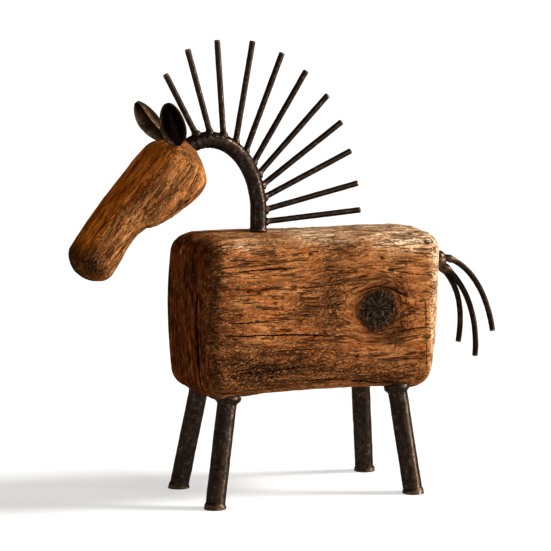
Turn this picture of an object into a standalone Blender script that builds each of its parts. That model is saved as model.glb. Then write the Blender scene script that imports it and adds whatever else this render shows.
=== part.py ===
"""Horse figurine: a block body and a carved head of weathered wood, joined and held up by iron rods.

The horse faces -X, its left side is at -Y and +Z is up. Sizes are in metres.
"""

from math import cos, pi, radians, sin

import bmesh
import bpy
import numpy as np
from mathutils import Matrix, Vector

# Clearance between pieces that touch in the real figure
FIT_GAP = 0.0003

# Points nearer than this are one point
SAME_POINT = 0.00001
# Edges that turn more sharply than this are shaded as edges
SHARP_ANGLE = radians(40)

# Body block
BODY_LENGTH = 0.129
BODY_WIDTH = 0.061
BODY_HEIGHT = 0.0806
BODY_CORNER = 0.0100
BELLY_HEIGHT = 0.0518
TOP_CROWN = 0.0020
BELLY_ARCH = 0.0028
FRONT_CROWN = 0.0030
REAR_TAPER = 0.0066
REAR_TAPER_POWER = 3.5
CORNER_CUTS = 3
FACE_CUTS = (9, 5, 7)

# Legs: iron rod with a flared collar at the wood and a mushroomed foot
LEG_DIAMETER = 0.0097
LEG_SEAT = 0.014
COLLAR_DIAMETER = 0.0133
COLLAR_SET_IN = 0.0010
COLLAR_HEIGHT = 0.0032
COLLAR_FLARE = 0.65
FOOT_RIM = 0.0007
FOOT_RIM_HEIGHT = 0.0026
FOOT_RIM_FLARE = 0.7
FRONT_LEG_INSET = 0.0161
FRONT_LEG_TRACK = 0.0400
FRONT_LEG_REACH = 0.0092
FRONT_LEG_SPLAY = 0.0064
REAR_LEG_INSET = 0.0229
REAR_LEG_TRACK = 0.0450
REAR_LEG_REACH = 0.0060
REAR_LEG_SPLAY = 0.0074

# Neck: iron rod, straight up from the back and then bent forward and down into the head
NECK_DIAMETER = 0.0082
NECK_INSET = 0.0402
NECK_SEAT = 0.015
NECK_RISE = 0.0104
NECK_REACH = 0.0262
NECK_CROWN = 0.0353
NECK_BEND = radians(128)
NECK_BEND_STEPS = 20

# Mane: thin iron rods welded in a fan along the outside of the neck, first to last from the head
MANE_DIAMETER = 0.0030
MANE_LENGTH = 0.0555
MANE_SHARES = (0.67, 0.83, 0.91, 0.975, 1.01, 1.03, 1.035, 1.02, 1.0, 1.0, 1.0)
MANE_LEANS = (-28.0, -15.7, -3.8, 10.4, 21.9, 32.0, 44.0, 54.4, 64.8, 76.8, 85.4)
MANE_FIRST = 0.0042
MANE_PITCH_UPRIGHT = 0.0054
MANE_PITCH_BEND = 0.0065
MANE_UPRIGHT_STEPS = 5
MANE_CHAMFER = 0.0004
BEAD_DIAMETER = 0.0052
BEAD_HEIGHT = 0.0018
BEAD_SHOULDER_DIAMETER = 0.0045
BEAD_SHOULDER_HEIGHT = 0.0011
BEAD_DEPTH = 0.0031

# Head: stations from the poll to the nose, as shares of the head's length
HEAD_LENGTH = 0.0840
HEAD_DROOP = radians(52)
HEAD_START = -0.099
HEAD_SQUARE_POWER = 3.0
HEAD_EVEN_SHARE = 0.45
HEAD_SIDES = 28
POLL_ROUNDING = 0.155
NOSE_ROUNDING = 0.115
HEAD_STATIONS = (
    # along, front, back, half width
    (-0.099, 0.116, -0.095, 0.205),
    (0.000, 0.152, -0.184, 0.240),
    (0.072, 0.161, -0.213, 0.262),
    (0.144, 0.168, -0.209, 0.268),
    (0.240, 0.173, -0.182, 0.262),
    (0.335, 0.177, -0.148, 0.250),
    (0.407, 0.181, -0.114, 0.238),
    (0.455, 0.183, -0.083, 0.226),
    (0.502, 0.185, -0.066, 0.214),
    (0.598, 0.186, -0.057, 0.199),
    (0.718, 0.184, -0.070, 0.190),
    (0.813, 0.179, -0.080, 0.184),
    (0.911, 0.165, -0.082, 0.176),
)

# Ears: cupped leaves of iron sheet, let into the top of the head
EAR_LENGTH = 0.0265
EAR_WIDTH = 0.0120
EAR_THICKNESS = 0.0014
EAR_CUP = 0.0073
EAR_EGG_POWER = 1.11
EAR_BLUNT_ROOT = 0.0005
EAR_BLUNT_TIP = 0.0004
EAR_CUTS = (8, 12)
EARS = (
    # side, hand, lean forward, spread outward, turn of the open side outward, root on the head
    ("left", -1, radians(24.4), radians(32.5), radians(70.5), (0.0804, 0.155, -0.0183)),
    ("right", 1, radians(36.8), radians(9.0), radians(-13.0), (0.0490, 0.110, -0.0430)),
)

# Tail: short iron rod in the rump with three thin rods hanging from its end
TAIL_DIAMETER = 0.0080
TAIL_HEIGHT = 0.0622
TAIL_SEAT = 0.012
TAIL_REACH = 0.0150
TAIL_BLOB_DIAMETER = 0.0104
TAIL_BLOB_WAIST = 0.0097
TAIL_BLOB_BACK = 0.0023
TAIL_BLOB_NECK = 0.0042
TAIL_DOME_STEPS = 4
TAIL_ROD_DIAMETER = 0.0030
TAIL_ROD_STEPS = 12
TAIL_RODS = (
    # knots of each rod from the middle of the blob: start, its pull, the end's pull, end
    (
        (0.0010, 0.0025, -0.0024),
        (0.0157, 0.0035, -0.0120),
        (0.0182, 0.0052, -0.0290),
        (0.0163, 0.0070, -0.0444),
    ),
    (
        (0.0020, 0.0000, -0.0016),
        (0.0185, 0.0000, -0.0130),
        (0.0243, 0.0000, -0.0330),
        (0.0227, 0.0000, -0.0514),
    ),
    (
        (0.0020, -0.0022, 0.0018),
        (0.0190, -0.0036, -0.0018),
        (0.0272, -0.0052, -0.0205),
        (0.0289, -0.0075, -0.0376),
    ),
)

# How many sides the turned pieces have, and how finely the drawn rods are rounded
SIDES_THICK = 16
SIDES_THIN = 10
ROUND_THICK = 4
ROUND_THIN = 2


def clear_scene():
    for obj in list(bpy.data.objects):
        bpy.data.objects.remove(obj)


def new_collection(name):
    collection = bpy.data.collections.new(name)
    bpy.context.scene.collection.children.link(collection)
    return collection


def new_material(name, colour, roughness, metallic):
    material = bpy.data.materials.new(name)
    material.use_nodes = True
    shader = material.node_tree.nodes["Principled BSDF"]
    shader.inputs["Base Color"].default_value = (*colour, 1.0)
    shader.inputs["Roughness"].default_value = roughness
    shader.inputs["Metallic"].default_value = metallic
    return material


def place(obj, matrix):
    obj.location = matrix.to_translation()
    obj.rotation_euler = matrix.to_euler()


def add_piece(name, mesh, material, matrix):
    """A visible solid of the figure."""
    piece = bpy.data.objects.new(name, mesh)
    pieces.objects.link(piece)
    piece.parent = figure
    place(piece, matrix)
    mesh.materials.clear()
    mesh.materials.append(material)
    return piece


def add_cutter(name, mesh, matrix):
    """A solid that is only taken away from other pieces."""
    cutter = bpy.data.objects.new(name, mesh)
    cutters.objects.link(cutter)
    cutter.parent = figure
    cutter.hide_render = True
    cutter.display_type = "WIRE"
    place(cutter, matrix)
    return cutter


def cut(piece, cutter):
    boolean = piece.modifiers.new(cutter.name, "BOOLEAN")
    boolean.operation = "DIFFERENCE"
    boolean.solver = "EXACT"
    boolean.object = cutter


def smooth(mesh):
    mesh.shade_smooth()
    mesh.set_sharp_from_angle(angle=SHARP_ANGLE)


def mapped(mesh_maker, shape):
    """A mesh whose points are moved by shape, a function from and to an array of points."""
    work = bmesh.new()
    mesh_maker(work)
    mesh = bpy.data.meshes.new("shape")
    work.to_mesh(mesh)
    work.free()
    points = np.empty(len(mesh.vertices) * 3)
    mesh.vertices.foreach_get("co", points)
    mesh.vertices.foreach_set("co", shape(points.reshape(-1, 3)).ravel())
    mesh.update()
    smooth(mesh)
    return mesh


def profile_mesh(outline):
    """An open line in the XZ plane, from its top on the axis down its outer side."""
    mesh = bpy.data.meshes.new("profile")
    points = [(radius, 0.0, height) for radius, height in outline]
    mesh.from_pydata(points, [(i, i + 1) for i in range(len(points) - 1)], [])
    return mesh


def turn(obj, sides):
    screw = obj.modifiers.new("turned", "SCREW")
    screw.axis = "Z"
    screw.steps = sides
    screw.render_steps = sides
    screw.use_merge_vertices = True
    screw.merge_threshold = SAME_POINT
    screw.use_smooth_shade = True


def swollen(outline, gap):
    """The same turned outline with gap added all round it."""
    top = outline[0][1]
    bottom = outline[-1][1]
    result = []
    for radius, height in outline:
        grown = radius + gap if radius > 0 else 0.0
        shift = gap if height == top else -gap if height == bottom else 0.0
        result.append((grown, height + shift))
    return result


def tube_mesh(points, diameter, fineness):
    """A round rod along a line of points, as a closed mesh."""
    data = bpy.data.curves.new("rod", "CURVE")
    data.dimensions = "3D"
    data.bevel_depth = diameter / 2
    data.bevel_resolution = fineness
    data.use_fill_caps = True
    spline = data.splines.new("POLY")
    spline.points.add(len(points) - 1)
    for knot, point in zip(spline.points, points):
        knot.co = (*point, 1.0)
    curve = bpy.data.objects.new("rod", data)
    cutters.objects.link(curve)
    bpy.context.view_layer.update()
    graph = bpy.context.evaluated_depsgraph_get()
    mesh = bpy.data.meshes.new_from_object(curve.evaluated_get(graph))
    bpy.data.objects.remove(curve)
    work = bmesh.new()
    work.from_mesh(mesh)
    bmesh.ops.remove_doubles(work, verts=work.verts, dist=SAME_POINT)
    bmesh.ops.recalc_face_normals(work, faces=work.faces)
    work.to_mesh(mesh)
    work.free()
    smooth(mesh)
    return mesh


# Body


def saw_lines(half, corner, face_cuts):
    """Cut places along one axis: even steps across the face and even turns round each corner."""
    flat = half - corner
    turned = [flat + corner * np.tan(pi / 4 * i / CORNER_CUTS) for i in range(1, CORNER_CUTS)]
    inner = list(np.linspace(-flat, flat, face_cuts + 1))
    return [-height for height in turned] + inner + turned


def body_block(work):
    """A box with saw lines where the rounding and the crowns need points."""
    halves = (BODY_LENGTH / 2, BODY_WIDTH / 2, BODY_HEIGHT / 2)
    bmesh.ops.create_cube(work, size=2.0, matrix=Matrix.Diagonal((*halves, 1.0)))
    for axis, half in enumerate(halves):
        for position in saw_lines(half, BODY_CORNER, FACE_CUTS[axis]):
            centre = Vector((0, 0, 0))
            normal = Vector((0, 0, 0))
            centre[axis] = position
            normal[axis] = 1.0
            everything = work.verts[:] + work.edges[:] + work.faces[:]
            bmesh.ops.bisect_plane(work, geom=everything, dist=1e-7, plane_co=centre, plane_no=normal)


def body_shape(points):
    """Rounds the box, then bends its faces: crowned top and front, arched belly, tapered rump.

    Rounding: the nearest point of the box shrunk by the corner radius, plus that radius
    towards the point. Bends: powers of the shares along, across and up.
    """
    halves = np.array((BODY_LENGTH, BODY_WIDTH, BODY_HEIGHT)) / 2
    core = np.clip(points, BODY_CORNER - halves, halves - BODY_CORNER)
    offset = points - core
    rounded = core + BODY_CORNER * offset / np.linalg.norm(offset, axis=1, keepdims=True)
    along, across, up = (rounded / halves).T
    result = rounded.copy()
    result[:, 0] += FRONT_CROWN * up**2 * (1 - along) / 2
    low = np.clip((1 - up) / 2, 0, 1)
    result[:, 0] -= REAR_TAPER * low**REAR_TAPER_POWER * (1 + along) / 2
    result[:, 2] -= TOP_CROWN * across**2 * (1 + up) / 2
    result[:, 2] += BELLY_ARCH * (1 - along**2) * (1 - up) / 2
    return result


def belly_at(x):
    """Height of the arched belly, a distance x from the middle of the body."""
    return BELLY_HEIGHT + BELLY_ARCH * (1 - (x / (BODY_LENGTH / 2)) ** 2)


def make_body():
    centre = Matrix.Translation((0, 0, BELLY_HEIGHT + BODY_HEIGHT / 2))
    wood = new_material("body_wood", (0.27, 0.115, 0.045), 0.72, 0.0)
    return add_piece("body", mapped(body_block, body_shape), wood, centre)


# Legs


def leg_outline(length):
    """Half section of a leg from the top of its seat to just past the ground."""
    radius = LEG_DIAMETER / 2
    collar = COLLAR_DIAMETER / 2
    foot = radius + FOOT_RIM
    return [
        (0.0, LEG_SEAT),
        (radius, LEG_SEAT),
        (radius, COLLAR_SET_IN),
        (collar, COLLAR_SET_IN),
        (collar, -COLLAR_SET_IN),
        ((radius + collar) / 2, -COLLAR_HEIGHT * COLLAR_FLARE),
        (radius, -COLLAR_HEIGHT),
        (radius, -length + FOOT_RIM_HEIGHT),
        (foot, -length + FOOT_RIM_HEIGHT * FOOT_RIM_FLARE),
        (foot, -length - FOOT_RIM_HEIGHT),
        (0.0, -length - FOOT_RIM_HEIGHT),
    ]


def leg_matrix(top, foot):
    """Local +Z runs up the leg from its foot, with the origin at the belly."""
    up = (top - foot).normalized()
    return Matrix.Translation(top) @ Vector((0, 0, 1)).rotation_difference(up).to_matrix().to_4x4()


def make_leg(name, top, foot, body, ground):
    length = (top - foot).length
    matrix = leg_matrix(top, foot)
    outline = leg_outline(length)
    iron = new_material(name + "_iron", (0.055, 0.042, 0.035), 0.48, 0.85)
    leg = add_piece(name, profile_mesh(outline), iron, matrix)
    turn(leg, SIDES_THICK)
    cut(leg, ground)
    socket = add_cutter(name + "_socket", profile_mesh(swollen(outline, FIT_GAP)), matrix)
    turn(socket, SIDES_THICK)
    cut(body, socket)


def make_legs(body):
    slab = max(BODY_LENGTH, BODY_WIDTH)
    ground_mesh = mapped(
        lambda work: bmesh.ops.create_cube(work, size=2 * slab),
        lambda points: points - np.array((0, 0, slab)),
    )
    ground = add_cutter("ground", ground_mesh, Matrix.Identity(4))
    ends = (
        ("front", -1, FRONT_LEG_INSET, FRONT_LEG_TRACK, FRONT_LEG_REACH, FRONT_LEG_SPLAY),
        ("rear", 1, REAR_LEG_INSET, REAR_LEG_TRACK, REAR_LEG_REACH, REAR_LEG_SPLAY),
    )
    for end, way, inset, track, reach, splay in ends:
        for side, hand in (("left", -1), ("right", 1)):
            x = way * (BODY_LENGTH / 2 - inset)
            top = Vector((x, hand * track / 2, belly_at(x)))
            foot = Vector((x + way * reach, hand * (track / 2 + splay), 0))
            make_leg(f"leg_{end}_{side}", top, foot, body, ground)


# Neck


def neck_foot():
    return Vector((NECK_INSET - BODY_LENGTH / 2, 0, BELLY_HEIGHT + BODY_HEIGHT))


def neck_bend(angle):
    """Point of the quarter ellipse and of its run down into the head."""
    centre = neck_foot() + Vector((-NECK_REACH, 0, NECK_RISE))
    return centre + Vector((NECK_REACH * cos(angle), 0, NECK_CROWN * sin(angle)))


def neck_line(extra):
    """Centre line of the neck, made longer at both ends by extra."""
    foot = neck_foot()
    start = foot - Vector((0, 0, NECK_SEAT + extra))
    bend = [neck_bend(NECK_BEND * i / NECK_BEND_STEPS) for i in range(NECK_BEND_STEPS + 1)]
    line = [start, foot, *bend]
    line[-1] = line[-1] + (line[-1] - line[-2]).normalized() * extra
    return line


def make_neck(body):
    iron = new_material("neck_iron", (0.06, 0.047, 0.038), 0.42, 0.85)
    add_piece("neck", tube_mesh(neck_line(0.0), NECK_DIAMETER, ROUND_THICK), iron, Matrix.Identity(4))
    wide = NECK_DIAMETER + 2 * FIT_GAP
    space_mesh = tube_mesh(neck_line(FIT_GAP), wide, ROUND_THICK)
    space = add_cutter("neck_space", space_mesh, Matrix.Identity(4))
    cut(body, space)
    return space


# Mane


def along_neck(distance):
    """Point on the neck's centre line, a distance above its foot."""
    line = neck_line(0.0)[1:]
    for start, end in zip(line, line[1:]):
        step = (end - start).length
        if distance <= step:
            return start.lerp(end, distance / step)
        distance -= step
    return line[-1]


def mane_distance(step):
    """How far up the neck a rod stands, counted from the lowest rod, closer together on the upright."""
    upright = min(step, MANE_UPRIGHT_STEPS)
    return MANE_FIRST + MANE_PITCH_UPRIGHT * upright + MANE_PITCH_BEND * (step - upright)


def mane_outline(length):
    """Half section of a mane rod with the weld bead at its foot, from the neck's centre line."""
    radius = MANE_DIAMETER / 2
    bead = BEAD_DIAMETER / 2
    surface = NECK_DIAMETER / 2
    inside = surface - BEAD_DEPTH
    return [
        (0.0, length),
        (radius - MANE_CHAMFER, length),
        (radius, length - MANE_CHAMFER),
        (radius, surface + BEAD_HEIGHT),
        (BEAD_SHOULDER_DIAMETER / 2, surface + BEAD_SHOULDER_HEIGHT),
        (bead, surface),
        (bead, inside),
        (0.0, inside),
    ]


def make_mane(neck_space):
    count = len(MANE_LEANS)
    for i, (lean, share) in enumerate(zip(MANE_LEANS, MANE_SHARES)):
        start = along_neck(mane_distance(count - 1 - i))
        matrix = Matrix.Translation(start) @ Matrix.Rotation(radians(lean), 4, "Y")
        name = f"mane_rod_{i + 1:02d}"
        iron = new_material(name + "_iron", (0.075, 0.055, 0.042), 0.45, 0.85)
        rod = add_piece(name, profile_mesh(mane_outline(MANE_LENGTH * share)), iron, matrix)
        turn(rod, SIDES_THIN)
        cut(rod, neck_space)


# Head


def end_rounding(along, start, end, first, last):
    """Share of the full section: a quarter circle in at the first end and out at the last."""
    into = np.clip((along - start) / first, 0, 1)
    out = np.clip((end - along) / last, 0, 1)
    return np.sqrt(1 - (1 - into) ** 2) * np.sqrt(1 - (1 - out) ** 2)


def through(along, places, values):
    """Smooth line through values at places: a cubic in each gap, with the mean slope at each end."""
    slopes = np.gradient(values, places)
    gap = np.clip(np.searchsorted(places, along) - 1, 0, len(places) - 2)
    width = places[gap + 1] - places[gap]
    t = (along - places[gap]) / width
    rise = values[gap + 1] - values[gap]
    into = slopes[gap] * width - rise
    out = rise - slopes[gap + 1] * width
    return values[gap] + rise * t + t * (1 - t) * (into * (1 - t) + out * t)


def head_shape(points):
    """Turns a unit ball into the head, in the head's own axes.

    The ball's height gives the place along the head, spaced by its angle from the pole, and
    its longitude gives the place round a rounded-square section between the front and back lines.
    """
    latitude = np.arccos(np.clip(points[:, 2], -1, 1)) / pi
    longitude = np.arctan2(points[:, 1], points[:, 0])
    end = HEAD_START + 1.0
    along = HEAD_START + (1 - latitude_spacing(latitude))
    stations = np.array(HEAD_STATIONS)
    front, back, wide = (through(along, stations[:, 0], stations[:, i]) for i in (1, 2, 3))
    full = end_rounding(along, HEAD_START, end, POLL_ROUNDING, NOSE_ROUNDING)
    power = 2 / HEAD_SQUARE_POWER
    out = np.sign(np.cos(longitude)) * np.abs(np.cos(longitude)) ** power
    side = np.sign(np.sin(longitude)) * np.abs(np.sin(longitude)) ** power
    x = (front + back) / 2 + (front - back) / 2 * full * out
    y = wide * full * side
    return np.column_stack((x, y, along)) * HEAD_LENGTH


def latitude_spacing(latitude):
    """Share along the head from the nose: part even steps and part steps that close up at the ends."""
    closing = (1 - np.cos(pi * latitude)) / 2
    return HEAD_EVEN_SHARE * latitude + (1 - HEAD_EVEN_SHARE) * closing


def head_matrix():
    """Local +Z runs from the poll to the nose and local +X out of the brow, from the neck's end."""
    return Matrix.Translation(neck_bend(NECK_BEND)) @ Matrix.Rotation(-pi / 2 - HEAD_DROOP, 4, "Y")


def unit_ball(work):
    bmesh.ops.create_uvsphere(work, u_segments=HEAD_SIDES, v_segments=HEAD_SIDES, radius=1.0)


def make_head(neck_space):
    wood = new_material("head_wood", (0.24, 0.095, 0.038), 0.7, 0.0)
    head = add_piece("head", mapped(unit_ball, head_shape), wood, head_matrix())
    cut(head, neck_space)
    return head


# Ears


def leaf_grid(work):
    bmesh.ops.create_grid(work, x_segments=EAR_CUTS[0], y_segments=EAR_CUTS[1], size=1.0)


def ear_leaf(width, length, start):
    """A function that bends a flat grid into a cupped leaf: local +Z to the tip, cup towards +X.

    The outline is an egg, a circle's half chord at the share of the length raised to EAR_EGG_POWER,
    and the cup is a parabola across it, drawn in to both ends by the chord squared.
    """
    ends = (EAR_BLUNT_ROOT / length, 1 - EAR_BLUNT_TIP / length)

    def shape(points):
        across = points[:, 0]
        up = np.interp(points[:, 1], (-1, 1), ends)
        chord = np.sqrt(1 - (2 * up**EAR_EGG_POWER - 1) ** 2)
        cup = EAR_CUP * (across**2 - 0.5) * chord**2
        return np.column_stack((cup, across * chord * width / 2, start + (length - start) * up))

    return shape


def ear_matrix(hand, lean, spread, turn_out, place):
    """Ear axes: +Z leans forward and outward, +X is the open side, forward and turned outward."""
    root = head_matrix() @ (Vector((place[0], hand * place[1], place[2])) * HEAD_LENGTH)
    up = Vector((-sin(lean), hand * sin(spread), cos(lean))).normalized()
    facing = Vector((-cos(turn_out), hand * sin(turn_out), 0))
    facing = (facing - up * facing.dot(up)).normalized()
    side = up.cross(facing)
    axes = Matrix((facing, side, up)).transposed().to_4x4()
    return Matrix.Translation(root) @ axes


def make_ears(head):
    for side, hand, lean, spread, turn_out, place in EARS:
        name = "ear_" + side
        matrix = ear_matrix(hand, lean, spread, turn_out, place)
        iron = new_material(name + "_iron", (0.05, 0.038, 0.032), 0.5, 0.85)
        leaf = mapped(leaf_grid, ear_leaf(EAR_WIDTH, EAR_LENGTH, 0.0))
        ear = add_piece(name, leaf, iron, matrix)
        thicken(ear, EAR_THICKNESS)
        slot_leaf = mapped(leaf_grid, ear_leaf(EAR_WIDTH + 2 * FIT_GAP, EAR_LENGTH, -FIT_GAP))
        slot = add_cutter(name + "_slot", slot_leaf, matrix)
        thicken(slot, EAR_THICKNESS + 2 * FIT_GAP)
        cut(head, slot)


def thicken(obj, thickness):
    wall = obj.modifiers.new("wall", "SOLIDIFY")
    wall.thickness = thickness
    wall.offset = 0.0


# Tail


def tail_outline():
    """Half section of the tail's stub, from its weld blob back to its seat in the rump."""
    radius = TAIL_DIAMETER / 2
    blob = TAIL_BLOB_DIAMETER / 2
    shoulder = TAIL_REACH - blob
    turns = [pi / 2 * i / TAIL_DOME_STEPS for i in range(TAIL_DOME_STEPS + 1)]
    return [
        *[(blob * sin(angle), shoulder + blob * cos(angle)) for angle in turns],
        (TAIL_BLOB_WAIST / 2, shoulder - TAIL_BLOB_BACK),
        (radius, shoulder - TAIL_BLOB_NECK),
        (radius, -TAIL_SEAT),
        (0.0, -TAIL_SEAT),
    ]


def bezier(start, pull_start, pull_end, end, steps):
    """Points of the cubic curve that leaves start towards pull_start and meets end from pull_end."""
    t = np.linspace(0, 1, steps + 1)[:, None]
    corners = np.array((start, pull_start, pull_end, end))
    weights = np.hstack(((1 - t) ** 3, 3 * (1 - t) ** 2 * t, 3 * (1 - t) * t**2, t**3))
    return [Vector(point) for point in weights @ corners]


def make_tail(body):
    root = Vector((BODY_LENGTH / 2, 0, BELLY_HEIGHT + TAIL_HEIGHT))
    matrix = Matrix.Translation(root) @ Matrix.Rotation(pi / 2, 4, "Y")
    iron = new_material("tail_stub_iron", (0.055, 0.042, 0.035), 0.48, 0.85)
    stub = add_piece("tail_stub", profile_mesh(tail_outline()), iron, matrix)
    turn(stub, SIDES_THICK)
    space = add_cutter("tail_space", profile_mesh(swollen(tail_outline(), FIT_GAP)), matrix)
    turn(space, SIDES_THICK)
    cut(body, space)
    blob = root + Vector((TAIL_REACH - TAIL_BLOB_DIAMETER / 2, 0, 0))
    for i, knots in enumerate(TAIL_RODS):
        line = bezier(*[blob + Vector(knot) for knot in knots], TAIL_ROD_STEPS)
        name = f"tail_rod_{i + 1}"
        wire = new_material(name + "_iron", (0.065, 0.048, 0.038), 0.45, 0.85)
        rod = add_piece(name, tube_mesh(line, TAIL_ROD_DIAMETER, ROUND_THIN), wire, Matrix.Identity(4))
        cut(rod, space)


# The whole figure


def centre_on_origin():
    """Moves the figure so that the middle of its box, seen from above, is the origin."""
    bpy.context.view_layer.update()
    graph = bpy.context.evaluated_depsgraph_get()
    corners = []
    for piece in pieces.objects:
        shape = piece.evaluated_get(graph)
        world = np.array(shape.matrix_world)
        mesh = shape.to_mesh()
        points = np.empty(len(mesh.vertices) * 3)
        mesh.vertices.foreach_get("co", points)
        points = points.reshape(-1, 3) @ world[:3, :3].T + world[:3, 3]
        corners += [points.min(axis=0), points.max(axis=0)]
        shape.to_mesh_clear()
    middle = (np.min(corners, axis=0) + np.max(corners, axis=0)) / 2
    figure.location = (-middle[0], -middle[1], 0.0)


clear_scene()
pieces = new_collection("horse_figurine")
cutters = new_collection("cutters")
figure = bpy.data.objects.new("figure", None)
bpy.context.scene.collection.objects.link(figure)

body_piece = make_body()
make_legs(body_piece)
neck_cut = make_neck(body_piece)
make_mane(neck_cut)
head_piece = make_head(neck_cut)
make_ears(head_piece)
make_tail(body_piece)
centre_on_origin()
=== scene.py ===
from math import radians

import bpy
import numpy as np
from mathutils import Matrix, Vector


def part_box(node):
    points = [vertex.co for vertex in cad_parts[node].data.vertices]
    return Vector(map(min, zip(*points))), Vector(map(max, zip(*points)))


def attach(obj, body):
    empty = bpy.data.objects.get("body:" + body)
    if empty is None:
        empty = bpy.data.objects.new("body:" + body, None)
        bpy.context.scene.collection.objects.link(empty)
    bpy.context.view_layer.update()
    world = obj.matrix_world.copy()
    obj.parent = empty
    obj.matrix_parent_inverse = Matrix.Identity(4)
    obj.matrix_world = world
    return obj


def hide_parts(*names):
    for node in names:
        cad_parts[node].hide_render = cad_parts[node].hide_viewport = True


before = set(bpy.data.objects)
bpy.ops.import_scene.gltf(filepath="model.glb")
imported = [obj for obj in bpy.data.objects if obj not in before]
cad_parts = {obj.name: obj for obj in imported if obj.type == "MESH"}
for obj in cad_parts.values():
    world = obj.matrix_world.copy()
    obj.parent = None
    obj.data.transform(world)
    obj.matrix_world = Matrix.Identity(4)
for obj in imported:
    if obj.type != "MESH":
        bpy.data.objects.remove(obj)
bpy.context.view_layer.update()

# Body: one block cut from an old beam, its edges rounded by hand and its skin dried out into fissures.
# The grain runs from chest to rump and bends round a dark knot on the left flank; the front end is stained
# dark, its darkness partly stain and partly painted shade, and split along the grain lines. The rods are
# driven into blind holes in it.

BODY_SIZE = np.array((129.0, 61.0, 80.6))
BODY_CORNER = 10.0
BELLY_HEIGHT = 51.8
SKIN_INSET = 0.1
TOP_CROWN, BELLY_ARCH, FRONT_CROWN, REAR_TAPER, REAR_TAPER_POWER = 2.0, 2.8, 3.0, 6.6, 3.5
FLAT_STEPS = (162, 60, 90)
CORNER_STEPS = 12

# knots: place along and up from the block's middle, radius
KNOT = (27.1, 2.8, 8.6)
# drying splits of the left flank along the grain: from, to, height at each end, half width
FLANK_SPLITS = (
    (-56.0, 2.0, -7.0, -8.1, 0.38),
    (-54.0, -30.0, -1.4, -1.1, 0.32),
    (-47.0, -37.0, 8.2, 7.9, 0.29),
    (-49.0, -14.0, 23.6, 23.4, 0.29),
    (-15.0, 13.0, -30.0, -30.8, 0.29),
    (11.0, 41.0, -30.8, -35.2, 0.43),
    (-46.0, 2.0, -25.8, -22.3, 0.26),
    (14.0, 44.0, 7.4, 6.2, 0.43),
    (30.0, 56.0, 17.5, 16.6, 0.23),
    (-20.0, 12.0, 14.2, 13.4, 0.20),
    (-30.0, 0.0, -15.2, -14.0, 0.23),
    (36.0, 58.0, -6.2, -7.4, 0.29),
)
# splits of the front end, from bottom to top: from, to, place across at each end, half width
FRONT_SPLITS = (
    (-38.0, 15.0, -20.2, -20.8, 1.3),
    (-40.0, -6.0, 7.6, 6.8, 0.9),
    (-12.0, 24.0, 20.0, 21.5, 0.4),
    (-36.0, -4.0, -7.5, -6.5, 0.4),
    (8.0, 40.0, -12.5, -11.0, 0.4),
)
# one upright check near the flank's rear edge
REAR_CHECKS = ((-33.0, 8.0, 54.8, 53.4, 0.22),)
WORM_HOLES = ((29.4, 27.6), (33.8, 21.4), (54.0, 34.6), (-41.5, 14.0), (16.0, -21.0), (-9.0, 31.0))
# soft marks on the block: strength, place along and up, radii. The worn marks are partly wear and partly
# painted light on the top, where the light falls; the dark marks are dirt
WORN_AND_LIT_MARKS = ((1.1, (44, 38), (24, 10)), (1.1, (-2, 41), (22, 6)), (0.6, (-42, 38), (14, 6)))
DARK_MARKS = (
    (0.5, (-30, 37), (9, 3.5)), (0.45, (12.6, 34.2), (10, 4)), (0.72, (3, 11), (9, 22)),
    (0.95, (-38, -26), (25, 13)), (0.5, (-5, -24), (24, 9)), (0.65, (34, -31), (24, 8)),
    (0.35, (-14, 4), (12, 9)), (0.42, (-52, 4), (10, 24)),
)

lattice = np.random.default_rng(11).uniform(-1, 1, (32, 32, 32))


def hills(place, pitch, layer=0):
    """Smooth random heights from -1 to 1: random values on a lattice of that pitch, blended over
    each cell with the weight 3t² - 2t³ along every axis."""
    at = place / np.asarray(pitch, float) + 5.37 * layer
    cell = np.floor(at).astype(int)
    share = at - cell
    share = share * share * (3 - 2 * share)
    height = np.zeros(len(place))
    for corner in np.ndindex(2, 2, 2):
        weight = np.where(corner, share, 1 - share).prod(axis=1)
        height += weight * lattice[tuple((cell + corner).T % 32)]
    return height


def rough(place, pitch, layer=0, layers=3):
    """Hills on hills: each layer half the size and half the height of the one before."""
    pitch = np.asarray(pitch, float)
    return sum(hills(place, pitch / 2**i, layer + i) / 2**i for i in range(layers))


def rise(value, start, end):
    """Smooth step from 0 at start to 1 at end, 3t² - 2t³."""
    share = np.clip((value - start) / (end - start), 0, 1)
    return share * share * (3 - 2 * share)


def patch(first, second, centre, radii):
    """A soft oval mark: 1 in its middle, e to the minus squared distance in radii."""
    return np.exp(-(((first - centre[0]) / radii[0]) ** 2) - ((second - centre[1]) / radii[1]) ** 2)


def split_share(along, height, splits, least=0.0):
    """How deep in a split each point lies: 1 on its line and 0 at its half width, fading at both ends."""
    deepest = np.zeros(len(along))
    for start, end, low, high, half in splits:
        line = np.interp(along, (start, end), (low, high))
        inside = np.clip(1 - np.abs(height - line) / max(half, least), 0, 1)
        ends = rise(along, start, start + 4) * rise(along, end, end - 4)
        deepest = np.maximum(deepest, inside * ends * min(half / 0.3, 2.0))
    return deepest


def block_lines(half, flat_steps):
    """Grid lines along one axis: even over the flat, and over each corner the flat's end plus the
    corner times the tangent of even turns up to 45 degrees."""
    flat = half - BODY_CORNER
    turned = flat + BODY_CORNER * np.tan(np.pi / 4 * np.arange(1, CORNER_STEPS + 1) / CORNER_STEPS)
    return np.concatenate((-turned[::-1], np.linspace(-flat, flat, flat_steps + 1), turned))


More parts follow.
